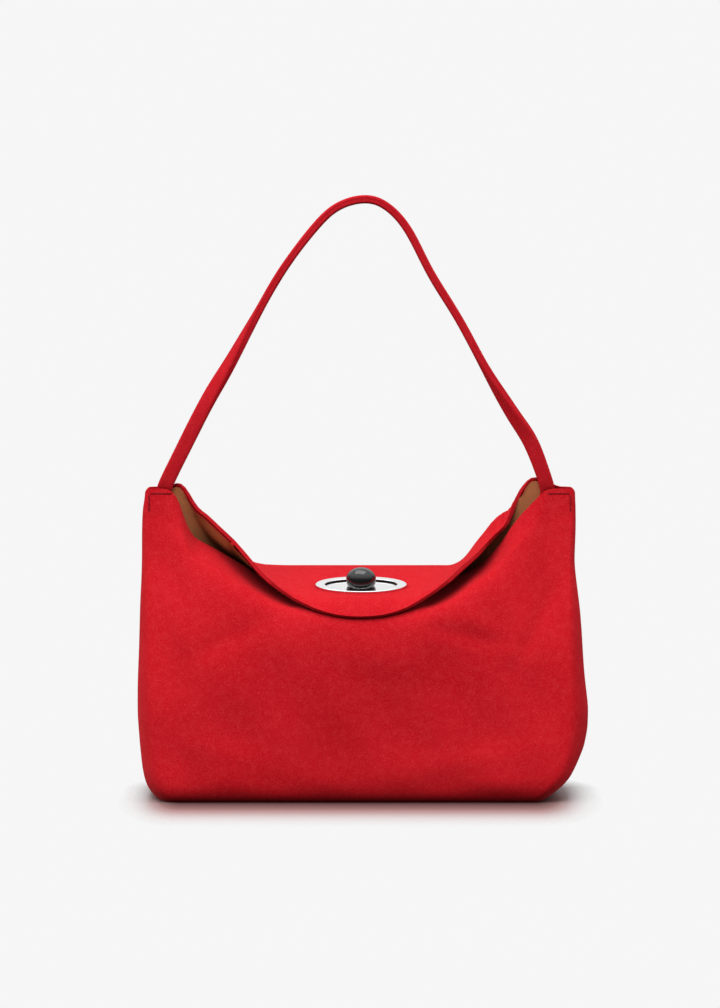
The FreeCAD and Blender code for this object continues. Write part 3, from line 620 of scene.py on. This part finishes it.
ring_front, ring_back = front[0][0], back[0][0]
across = np.linspace(0, 1, 9)[:, None, None]
floor_points = ring_front[None] + (ring_back - ring_front)[None] * across
floor_points[..., 2] = 0.0
down = np.zeros_like(floor_points)
down[..., 2] = -1.0
base_leather = shell("base_leather", floor_points, down, 0, BASE_LEATHER)
base_inner = shell("base_inner", floor_points * BASE_LINING_SHARE, down, BASE_LINING_TOP,
                   BASE_LINING_END, None, LINING_SKINS, "lining")

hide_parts("front_panel")
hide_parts("front_lining")
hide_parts("back_panel")
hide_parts("back_lining")
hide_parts("flap_panel")
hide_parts("flap_lining")
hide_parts("base_panel")
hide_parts("base_lining")
for label, leather, inner in sides:
    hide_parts(f"{label}_gusset")
    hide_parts(f"{label}_gusset_lining")
    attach(leather, "bag")
    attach(inner, "bag")
for piece in (front_leather, front_inner, back_leather, back_inner, base_leather, base_inner):
    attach(piece, "bag")
for piece in (flap_leather, flap_inner):
    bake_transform(piece)

# ---------------------------------------------------------------- strap

STRAP_LINE = [
    (-131.5, 199), (-130.6, 206), (-120.0, 227.9), (-102.6, 262.0), (-87.3, 287.8),
    (-70.7, 317.6), (-52.4, 349.2), (-30.6, 378.0), (-15.2, 391.8), (2.7, 396.6),
    (17.0, 391.8), (31.0, 376.6), (46.5, 346.9), (65.3, 316.6), (84.0, 282.0),
    (100.4, 255.0), (113.2, 235.0), (123.0, 209.0), (124.4, 200),
]
STRAP_AROUND = 40
STRAP_HALF_WIDE, STRAP_GROOVE = 5.0, 0.75
STRAP_END_HALF_THIN, STRAP_THICKENS = 1.3, 1.45  # flattened where it is sewn in, then thicker
STRAP_FLAT_TO = (200, 212)  # heights between which it thickens
LEFT_TWIST, RIGHT_TWIST = (0.36, 0.86), (0.52, 0.95)  # shares of each half over which it turns
STRAP_SMOOTHING = 30


def strap_points(samples=260):
    """Evenly spaced points on a smooth line through the strap's places."""
    given = np.array(STRAP_LINE, float)
    ends = np.vstack([2 * given[0] - given[1], given, 2 * given[-1] - given[-2]])
    found = []
    for i in range(1, len(ends) - 2):
        p0, p1, p2, p3 = ends[i - 1 : i + 3]
        for t in np.linspace(0, 1, 24, endpoint=False):
            curve = (2 * p1) + (p2 - p0) * t + (2 * p0 - 5 * p1 + 4 * p2 - p3) * t * t
            found.append(0.5 * (curve + (3 * p1 - p0 - 3 * p2 + p3) * t ** 3))
    found.append(given[-1])
    line = np.array(found)
    for _ in range(STRAP_SMOOTHING):
        line[1:-1] = line[1:-1] * 0.5 + (line[:-2] + line[2:]) * 0.25
    return resampled(line, samples)


def strap_section(wide, thin):
    """Outline of the folded strip: round corners, and the seam sunk between its two layers."""
    outline = []
    for i in range(STRAP_AROUND):
        angle = 2 * math.pi * (i + 0.5) / STRAP_AROUND
        c, s = math.cos(angle), math.sin(angle)
        a = math.copysign(abs(c) ** 0.45, c) * wide
        b = math.copysign(abs(s) ** 0.55, s) * thin
        near_seam = math.exp(-((b / (0.22 * thin)) ** 2)) * (abs(c) > 0.5)
        outline.append((a - math.copysign(STRAP_GROOVE * near_seam, a), b))
    return outline


def make_strap():
    """The strap: broad side to the front at the top, turned edge on towards both ends."""
    line = strap_points()
    total = len(line)
    verts, faces = [], []
    for i, (x, z) in enumerate(line):
        before, after = line[max(0, i - 1)], line[min(total - 1, i + 1)]
        tangent = Vector((after[0] - before[0], 0, after[1] - before[1])).normalized()
        level = Vector((-tangent.z, 0, tangent.x))
        share = abs(i / (total - 1) * 2 - 1)
        start, end = LEFT_TWIST if i < total / 2 else RIGHT_TWIST
        twist = (math.pi / 2) * float(smooth(share, start, end)) * (1 if i < total / 2 else -1)
        wave = 0.35 * math.sin(i * 0.11) + 0.25 * math.sin(i * 0.29 + 1)
        wide_axis = Vector((0, 1, 0)) * math.cos(twist) + level * math.sin(twist)
        thin_axis = level * math.cos(twist) - Vector((0, 1, 0)) * math.sin(twist)
        wide = STRAP_HALF_WIDE + 0.15 * wave
        thin = STRAP_END_HALF_THIN + STRAP_THICKENS * float(smooth(z, *STRAP_FLAT_TO))
        thin = thin * (1 + 0.04 * wave)
        centre = Vector((x, 0.4 * wave, z))
        for a, b in strap_section(wide, thin):
            verts.append((centre + wide_axis * a + thin_axis * b) * MM)
    for i in range(total - 1):
        for k in range(STRAP_AROUND):
            a, b = i * STRAP_AROUND + k, i * STRAP_AROUND + (k + 1) % STRAP_AROUND
            faces.append((a, b, b + STRAP_AROUND, a + STRAP_AROUND))
    faces.append(tuple(range(STRAP_AROUND - 1, -1, -1)))
    faces.append(tuple((total - 1) * STRAP_AROUND + k for k in range(STRAP_AROUND)))
    return new_piece("strap_leather", verts, faces, STRAP_SUEDE)


def capsule(start, end, radius, verts, faces, around=10):
    """Adds a closed rod with rounded ends to the vertices and faces."""
    axis = (end - start).normalized()
    side = axis.orthogonal().normalized()
    other = axis.cross(side)
    rings = [(start - axis * radius * 0.9, 0.35), (start - axis * radius * 0.5, 0.85),
             (start, 1.0), (end, 1.0),
             (end + axis * radius * 0.5, 0.85), (end + axis * radius * 0.9, 0.35)]
    first = len(verts)
    for centre, scale in rings:
        for k in range(around):
            turn = 2 * math.pi * k / around
            verts.append(centre + (side * math.cos(turn) + other * math.sin(turn)) * radius * scale)
    for r in range(len(rings) - 1):
        for k in range(around):
            a, b = first + r * around + k, first + r * around + (k + 1) % around
            faces.append((a, b, b + around, a + around))
    faces.append(tuple(first + k for k in range(around - 1, -1, -1)))
    last = first + (len(rings) - 1) * around
    faces.append(tuple(last + k for k in range(around)))


TAB_FOOT, TAB_TOP, TAB_HALF_THIN, TAB_WIDENING, TAB_AROUND = 189, 203, 1.6, 1.9, 24


def make_tab(name, x, node):
    """The strap's flattened end, sewn in between front and back."""
    verts, faces = [], []
    foot, top = Vector((x, 0, TAB_FOOT)) * MM, Vector((x, 0, TAB_TOP)) * MM
    capsule(foot, top, TAB_HALF_THIN * MM, verts, faces, TAB_AROUND)
    verts = [Vector((v.x + (v.x - x * MM) * TAB_WIDENING, v.y, v.z)) for v in verts]
    piece = new_piece(name, verts, faces, STRAP_SUEDE)
    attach(piece, "bag")
    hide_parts(node)


strap = make_strap()
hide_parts("strap_wrap", "strap_core")
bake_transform(strap)
make_tab("tab_left", -131.2, "strap_tab_left")
make_tab("tab_right", 124.2, "strap_tab_right")

# ---------------------------------------------------------------- stitches


STITCH_PITCH, STITCH_RADIUS, STITCH_LIFT = 2.9, 0.42, 0.12
STITCH_ROW_Z, STITCH_COUNT = 201.6, 5  # the row along the top edge
SIDE_PITCH, SIDE_COUNT, SIDE_INSET = 3.6, 3, 3.4  # the short row down the side


def on_front(x, z):
    """Point and normal of the front's outer skin nearest to that place, seen from the front."""
    points, normals = front
    hidden = points[..., 1] > -0.5
    away = (points[..., 0] - x) ** 2 + (points[..., 2] - z) ** 2 + 1e3 * hidden
    row, column = np.unravel_index(np.argmin(away), away.shape)
    found = points[row, column].copy()
    found[0], found[2] = x, z
    return Vector(found), Vector(normals[row, column])


def make_stitches(side):
    verts, faces = [], []
    edge = half_width(200, side)
    run = [(side * (edge - 4.0 - STITCH_PITCH * (i + 0.5)), STITCH_ROW_Z, side * 1.0, 0.0)
           for i in range(STITCH_COUNT)]
    run += [(side * (edge - SIDE_INSET), STITCH_ROW_Z - 1.0 - SIDE_PITCH * (i + 0.5), 0.0, 1.3)
            for i in range(SIDE_COUNT)]
    for x, z, dx, dz in run:
        ends = []
        for sign in (-1, 1):
            point, normal = on_front(x + sign * dx, z + sign * dz)
            ends.append((point + normal * STITCH_LIFT) * MM)
        capsule(ends[0], ends[1], STITCH_RADIUS * MM, verts, faces)
    name = "stitches_left" if side < 0 else "stitches_right"
    piece = new_piece(name, verts, faces, THREAD)
    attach(piece, "bag")
    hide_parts("corner_stitches_left" if side < 0 else "corner_stitches_right")


make_stitches(-1)
make_stitches(1)

# ---------------------------------------------------------------- finishes of the solid parts

FINISHES = {
    "eyelet_plate": POLISHED, "eyelet_backplate": POLISHED, "eyelet_screws": POLISHED,
    "lock_base_plate": POLISHED, "lock_backing_plate": POLISHED, "lock_screws": POLISHED,
    "knob_collar": POLISHED, "lock_knob": KNOB, "stop_pins": STEEL, "spring_washer": STEEL,
    "lock_spindle": STEEL, "stop_cam": STEEL, "spindle_clip": STEEL, "base_board": BOARD,
    "flap_stiffener": BOARD, "lock_stiffener": BOARD, "strap_tab_left": STRAP_SUEDE,
    "strap_tab_right": STRAP_SUEDE, "front_panel": SUEDE, "back_panel": SUEDE, "flap_panel": SUEDE,
    "left_gusset": SUEDE, "right_gusset": SUEDE, "base_panel": SUEDE, "front_lining": LINING,
    "back_lining": LINING, "flap_lining": LINING, "left_gusset_lining": LINING,
    "right_gusset_lining": LINING, "base_lining": LINING, "strap_wrap": STRAP_SUEDE,
    "strap_core": BOARD, "corner_stitches_left": THREAD, "corner_stitches_right": THREAD,
}
for name, material in FINISHES.items():
    mesh = nodes[name].data
    if not mesh.materials:
        mesh.materials.append(material)
    for holder in nodes[name].material_slots:
        holder.material = material

# ---------------------------------------------------------------- studio


BACKDROP = (0.921, 0.921, 0.921, 1)
FLOOR_REACH, FLOOR_DROP = 1.2, 0.0002
FLOOR_TONE, SHADE_FAR, SHADE_NEAR = (0.66, 0.66, 0.66), (0.40, 0.26, 0.25), (0.06, 0.014, 0.014)

# name, place, aim, width, height, power, whether reflections show it
LIGHTS = (
    ("top_box", (-0.1, -0.30, 1.6), (0, 0, 0.1), 1.5, 1.1, 10.0, True),
    ("key_box", (-0.5, -1.35, 1.75), (0, 0, 0.15), 1.5, 1.0, 27.0, False),
    ("right_box", (1.6, -0.7, 0.8), (0, 0, 0.14), 0.8, 1.0, 9.0, False),
    ("left_box", (-1.6, -0.6, 0.8), (0, 0, 0.14), 0.8, 1.0, 9.0, False),
    ("rear_box", (0.5, 1.7, 1.1), (0, 0, 0.14), 1.4, 0.9, 7.0, False),
)


def area_light(name, place, aim, width, height, power, in_reflections):
    lamp = bpy.data.lights.new(name, "AREA")
    lamp.shape = "RECTANGLE"
    lamp.size, lamp.size_y = width, height
    lamp.energy = power
    item = bpy.data.objects.new(name, lamp)
    item.location = place
    item.rotation_euler = (Vector(aim) - Vector(place)).to_track_quat("-Z", "Y").to_euler()
    item.visible_glossy = in_reflections
    bpy.context.scene.collection.objects.link(item)


def make_floor():
    """A pale floor that fades into the backdrop a little way from the bag.

    The dark, reddish tone close to the bag is painted here; it is not only a cast shadow.
    """
    far_edge = FLOOR_REACH
    corners = [(-far_edge, -far_edge, 0), (far_edge, -far_edge, 0), (far_edge, far_edge, 0),
               (-far_edge, far_edge, 0)]
    material, tree, surface = new_material("floor_white")
    floor = new_piece("studio_floor", corners, [(0, 1, 2, 3)], material)
    floor.location.z = -FLOOR_DROP
    surface.inputs["Roughness"].default_value = 0.35
    surface.inputs["Specular IOR Level"].default_value = 0.25
    place = tree.nodes.new("ShaderNodeTexCoord")
    split = tree.nodes.new("ShaderNodeSeparateXYZ")
    tree.links.new(place.outputs["Object"], split.inputs["Vector"])

    def beyond(axis, sign, start, stretch):
        """How far the floor lies past start along one way of an axis, at least nothing.

        The distance is multiplied by stretch and ends at 1.
        """
        node = tree.nodes.new("ShaderNodeMath")
        node.operation = "MULTIPLY_ADD"
        node.use_clamp = True
        node.inputs[1].default_value = sign * stretch
        node.inputs[2].default_value = -start * stretch
        tree.links.new(split.outputs[axis], node.inputs[0])
        return node.outputs["Value"]

    def summed(first, second):
        node = tree.nodes.new("ShaderNodeMath")
        node.operation = "ADD"
        tree.links.new(first, node.inputs[0])
        tree.links.new(second, node.inputs[1])
        return node.outputs["Value"]

    joined = tree.nodes.new("ShaderNodeCombineXYZ")
    for axis, low, high in (("X", (0.118, 2.6), (0.114, 2.4)), ("Y", (0.028, 1.1), (0.012, 2.2))):
        tree.links.new(summed(beyond(axis, -1, *low), beyond(axis, 1, *high)), joined.inputs[axis])
    farther = tree.nodes.new("ShaderNodeVectorMath")
    farther.operation = "LENGTH"
    tree.links.new(joined.outputs["Vector"], farther.inputs[0])
    fade = span(tree, farther.outputs["Value"], 0.055, 0.112, 0, 1)
    near = span(tree, farther.outputs["Value"], 0.008, 0.050, 0, 1)
    far = span(tree, farther.outputs["Value"], 0.040, 0.090, 0, 1)
    tone = blended(tree, near, SHADE_NEAR, SHADE_FAR)
    tree.links.new(blended(tree, far, tone, FLOOR_TONE), surface.inputs["Base Color"])
    clear = tree.nodes.new("ShaderNodeBsdfTransparent")
    mixer = tree.nodes.new("ShaderNodeMixShader")
    tree.links.new(fade, mixer.inputs["Fac"])
    tree.links.new(surface.outputs["BSDF"], mixer.inputs[1])
    tree.links.new(clear.outputs["BSDF"], mixer.inputs[2])
    tree.links.new(mixer.outputs["Shader"], tree.nodes["Material Output"].inputs["Surface"])


def make_world():
    """One even backdrop for the camera; light that grows with height for all else."""
    world = bpy.data.worlds.new("studio")
    bpy.context.scene.world = world
    world.use_nodes = True
    tree = world.node_tree
    lit = tree.nodes["Background"]
    lit.inputs["Color"].default_value = (1, 1, 1, 1)
    seen = tree.nodes.new("ShaderNodeBackground")
    seen.inputs["Color"].default_value = BACKDROP
    seen.inputs["Strength"].default_value = 1.0
    path = tree.nodes.new("ShaderNodeLightPath")
    place = tree.nodes.new("ShaderNodeTexCoord")
    split = tree.nodes.new("ShaderNodeSeparateXYZ")
    tree.links.new(place.outputs["Generated"], split.inputs["Vector"])
    diffuse = span(tree, split.outputs["Z"], -0.25, 0.35, 0.05, 0.40)
    glossy = span(tree, split.outputs["Z"], 0.05, 0.60, 0.06, 0.95)
    strength = tree.nodes.new("ShaderNodeMix")
    tree.links.new(path.outputs["Is Glossy Ray"], strength.inputs["Factor"])
    tree.links.new(diffuse, strength.inputs["A"])
    tree.links.new(glossy, strength.inputs["B"])
    tree.links.new(strength.outputs["Result"], lit.inputs["Strength"])
    mixer = tree.nodes.new("ShaderNodeMixShader")
    tree.links.new(path.outputs["Is Camera Ray"], mixer.inputs["Fac"])
    tree.links.new(lit.outputs["Background"], mixer.inputs[1])
    tree.links.new(seen.outputs["Background"], mixer.inputs[2])
    tree.links.new(mixer.outputs["Shader"], tree.nodes["World Output"].inputs["Surface"])


def make_camera():
    lens_distance, target, lift = 2.3, Vector((-0.0007, 0, 0.1941)), math.radians(5.0)
    sensor, view_height = 36.0, 0.672
    data = bpy.data.cameras.new("camera")
    data.sensor_width = sensor
    data.lens = sensor * lens_distance / view_height
    data.clip_end = 20
    camera = bpy.data.objects.new("camera", data)
    away = Vector((0, -math.cos(lift), math.sin(lift)))
    camera.location = target + away * lens_distance
    camera.rotation_euler = (-away).to_track_quat("-Z", "Y").to_euler()
    bpy.context.scene.collection.objects.link(camera)
    bpy.context.scene.camera = camera


make_floor()
make_world()
make_camera()
for light in LIGHTS:
    area_light(*light)

scene = bpy.context.scene
scene.view_settings.view_transform = "Standard"
scene.view_settings.look = "None"
